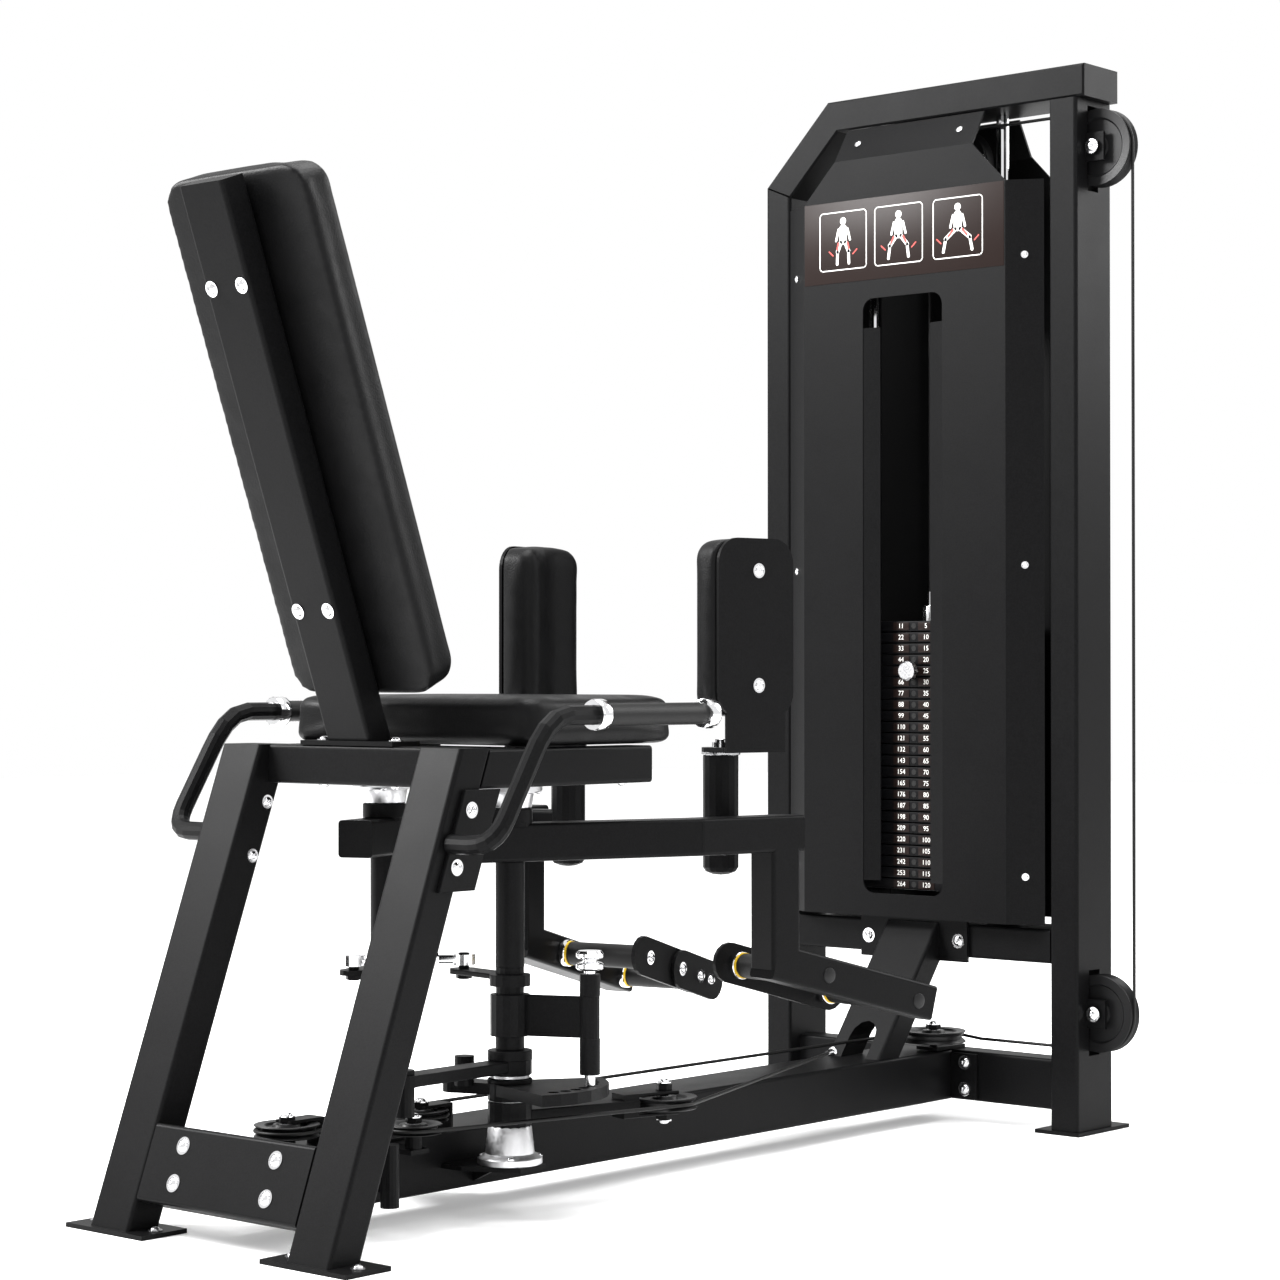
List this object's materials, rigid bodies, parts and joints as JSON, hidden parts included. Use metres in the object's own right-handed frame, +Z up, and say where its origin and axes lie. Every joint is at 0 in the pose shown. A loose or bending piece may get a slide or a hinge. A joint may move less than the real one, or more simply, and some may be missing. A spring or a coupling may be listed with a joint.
{
  "type": "hip abductor machine",
  "caption": "Seated hip abductor machine with black frame, padded swinging arms, foot pegs and a cable-driven weight stack behind a shroud.",
  "frame": {"origin": "centre of the footprint box on the floor", "axes": "+Z up, +Y from the seat towards the weight tower, +X to the right of the seated person"},
  "size_m": [0.6996, 1.6348, 1.65],
  "materials": {
    "black_powder_coat": "fine texture, satin",
    "black_leather": "pebbled, satin",
    "bright_chrome": "polished",
    "bare_steel": "turned",
    "black_plastic": "moulded",
    "black_rubber": "ribbed, matt",
    "stack_paint": "satin",
    "cast_housing": "bright cast",
    "yellow_plastic": "moulded",
    "label_film": "printed film"
  },
  "bodies": {
    "root": {"base_beam": "black_powder_coat", "front_cross_tube": "black_powder_coat", "front_leg_right": "black_powder_coat", "front_leg_left": "black_powder_coat", "seat_front_beam": "black_powder_coat", "seat_side_beam_right": "black_powder_coat", "seat_side_beam_left": "black_powder_coat", "seat_mid_beam": "black_powder_coat", "seat_pad": "black_leather", "backrest_post": "black_powder_coat", "backrest_pad": "black_leather", "handle_right": "black_powder_coat", "handle_left": "black_powder_coat", "grip_right": "black_rubber", "grip_left": "black_rubber", "top_beam": "black_powder_coat", "tower_post_right": "black_powder_coat", "tower_post_left": "black_powder_coat", "base_crossbeam": "black_powder_coat", "lower_crossbeam": "black_powder_coat", "brace": "black_powder_coat", "shroud_front": "black_powder_coat", "shroud_rear": "black_powder_coat", "weight_stack_resting": "stack_paint", "guide_rod_right": "bright_chrome", "guide_rod_left": "bright_chrome", "side_cable": "black_rubber", "base_cable": "black_rubber", "drive_cable": "black_rubber"},
    "drive": {"sector_plate": "black_powder_coat", "lever": "black_powder_coat", "pull_bar": "black_powder_coat"},
    "drive_wheel": {"pulley_drive": "black_plastic"},
    "right_arm": {"shaft_right": "black_powder_coat", "arm_frame_right": "black_powder_coat", "foot_plate_right": "black_powder_coat"},
    "pin_slider": {"pull_pin": "bright_chrome"},
    "tie_link": {"tie_rod": "bright_chrome"},
    "left_turn": {"shaft_left": "black_powder_coat"},
    "left_arm": {"arm_frame_left": "black_powder_coat", "foot_plate_left": "black_powder_coat"},
    "right_pad": {"pad_bracket_right": "black_powder_coat", "thigh_pad_right": "black_leather"},
    "left_pad": {"pad_bracket_left": "black_powder_coat", "thigh_pad_left": "black_leather"},
    "weight_carriage": {"weight_stack_lifted": "stack_paint", "lift_cable": "black_rubber"},
    "stack_selector": {"selector_pin": "bare_steel"},
    "peg_rear_right": {"foot_peg_rear_right": "black_rubber"},
    "peg_front_right": {"foot_peg_front_right": "black_rubber"},
    "peg_rear_left": {"foot_peg_rear_left": "black_rubber"},
    "peg_front_left": {"foot_peg_front_left": "black_rubber"},
    "wheel_side_top": {"pulley_side_top": "black_plastic"},
    "wheel_side_bottom": {"pulley_side_bottom": "black_plastic"},
    "wheel_inner_top": {"pulley_inner_top": "black_plastic"},
    "wheel_base": {"pulley_base": "black_plastic"},
    "wheel_front": {"pulley_front": "black_plastic"},
    "wheel_turn_a": {"pulley_turn_a": "black_plastic"},
    "wheel_turn_b": {"pulley_turn_b": "black_plastic"}
  },
  "joints": [
    {"name": "press", "type": "hinge", "parent": "root", "child": "drive", "pos_m": [0.08815, -0.38664, 0.3], "axis": [0, 0, -1], "range_deg": [0, 50], "deforming": ["drive_cable"]},
    {"name": "start_angle", "type": "hinge", "parent": "drive", "child": "right_arm", "pos_m": [0.08815, -0.38664, 0.3], "axis": [0, 0, -1], "range_deg": [-5, 15]},
    {"name": "left_press", "type": "hinge", "parent": "root", "child": "left_turn", "pos_m": [-0.14785, -0.38664, 0.3], "axis": [0, 0, 1], "range_deg": [0, 50]},
    {"name": "left_start_angle", "type": "hinge", "parent": "left_turn", "child": "left_arm", "pos_m": [-0.14785, -0.38664, 0.3], "axis": [0, 0, 1], "range_deg": [-5, 15]},
    {"name": "tie_swing", "type": "hinge", "parent": "right_arm", "child": "tie_link", "pos_m": [-0.01165, -0.37094, 0.329], "axis": [0, 0, 1], "range_deg": [0, 49]},
    {"name": "start_pin", "type": "slide", "parent": "right_arm", "child": "pin_slider", "axis": [0, 0, 1], "range_m": [0, 0.022], "stiffness_N_per_m": 300, "springref_m": -0.02},
    {"name": "weight_lift", "type": "slide", "parent": "root", "child": "weight_carriage", "axis": [0, 0, 1], "range_m": [0, 0.17], "deforming": ["lift_cable"]},
    {"name": "selector_pull", "type": "slide", "parent": "weight_carriage", "child": "stack_selector", "axis": [0, -1, 0], "range_m": [0, 0.06]},
    {"name": "right_pad_swivel", "type": "hinge", "parent": "right_arm", "child": "right_pad", "pos_m": [0.11535, 0.01326, 0.6], "axis": [0, 0, 1], "range_deg": [0, 180]},
    {"name": "peg_rear_right_roll", "type": "hinge", "parent": "right_arm", "child": "peg_rear_right", "pos_m": [0.12624, 0.11095, 0.29], "axis": [0.9839, -0.1788, 0], "continuous": true},
    {"name": "peg_front_right_roll", "type": "hinge", "parent": "right_arm", "child": "peg_front_right", "pos_m": [0.157, 0.28018, 0.243], "axis": [0.9839, -0.1788, 0], "continuous": true},
    {"name": "left_pad_swivel", "type": "hinge", "parent": "left_arm", "child": "left_pad", "pos_m": [-0.17505, 0.01326, 0.6], "axis": [0, 0, -1], "range_deg": [0, 180]},
    {"name": "peg_rear_left_roll", "type": "hinge", "parent": "left_arm", "child": "peg_rear_left", "pos_m": [-0.18594, 0.11095, 0.29], "axis": [-0.9839, -0.1788, 0], "continuous": true},
    {"name": "peg_front_left_roll", "type": "hinge", "parent": "left_arm", "child": "peg_front_left", "pos_m": [-0.2167, 0.28018, 0.243], "axis": [-0.9839, -0.1788, 0], "continuous": true},
    {"name": "wheel_side_top_spin", "type": "hinge", "parent": "root", "child": "wheel_side_top", "pos_m": [0.29015, 0.72486, 1.524], "axis": [0, 1, 0], "range_deg": [0, 170.28]},
    {"name": "wheel_side_bottom_spin", "type": "hinge", "parent": "root", "child": "wheel_side_bottom", "pos_m": [0.29015, 0.72486, 0.187], "axis": [0, 1, 0], "range_deg": [0, 170.28]},
    {"name": "wheel_inner_top_spin", "type": "hinge", "parent": "root", "child": "wheel_inner_top", "pos_m": [0.02315, 0.72486, 1.524], "axis": [0, 1, 0], "range_deg": [0, 170.28]},
    {"name": "wheel_base_spin", "type": "hinge", "parent": "root", "child": "wheel_base", "pos_m": [0.00315, 0.67986, 0.134], "axis": [0, 0, 1], "range_deg": [0, 197.97]},
    {"name": "wheel_front_spin", "type": "hinge", "parent": "root", "child": "wheel_front", "pos_m": [-0.02785, -0.67264, 0.134], "axis": [0, 0, 1], "range_deg": [0, 242.3]},
    {"name": "wheel_turn_a_spin", "type": "hinge", "parent": "root", "child": "wheel_turn_a", "pos_m": [0.00615, -0.46964, 0.134], "axis": [0, 0, -1], "range_deg": [0, 276.71]},
    {"name": "wheel_turn_b_spin", "type": "hinge", "parent": "root", "child": "wheel_turn_b", "pos_m": [0.06215, -0.53764, 0.13], "axis": [0, 0, 1], "range_deg": [0, 276.71]},
    {"name": "drive_wheel_spin", "type": "hinge", "parent": "drive", "child": "drive_wheel", "pos_m": [0.15715, -0.15764, 0.132], "axis": [0, 0, 1], "range_deg": [0, 100]}
  ],
  "couplings": [
    {"joint": "left_press", "follows": "press", "ratio": 1},
    {"joint": "left_start_angle", "follows": "start_angle", "ratio": 1},
    {"joint": "tie_swing", "follows": "press", "ratio": 0.98},
    {"joint": "weight_lift", "follows": "press", "m_per_rad": 0.19481},
    {"joint": "wheel_side_top_spin", "follows": "press", "ratio": 3.4057},
    {"joint": "wheel_side_bottom_spin", "follows": "press", "ratio": 3.4057},
    {"joint": "wheel_inner_top_spin", "follows": "press", "ratio": 3.4057},
    {"joint": "wheel_base_spin", "follows": "press", "ratio": 3.9595},
    {"joint": "wheel_front_spin", "follows": "press", "ratio": 4.8459},
    {"joint": "wheel_turn_a_spin", "follows": "press", "ratio": 5.5343},
    {"joint": "wheel_turn_b_spin", "follows": "press", "ratio": 5.5343},
    {"joint": "drive_wheel_spin", "follows": "press", "ratio": 2}
  ]
}
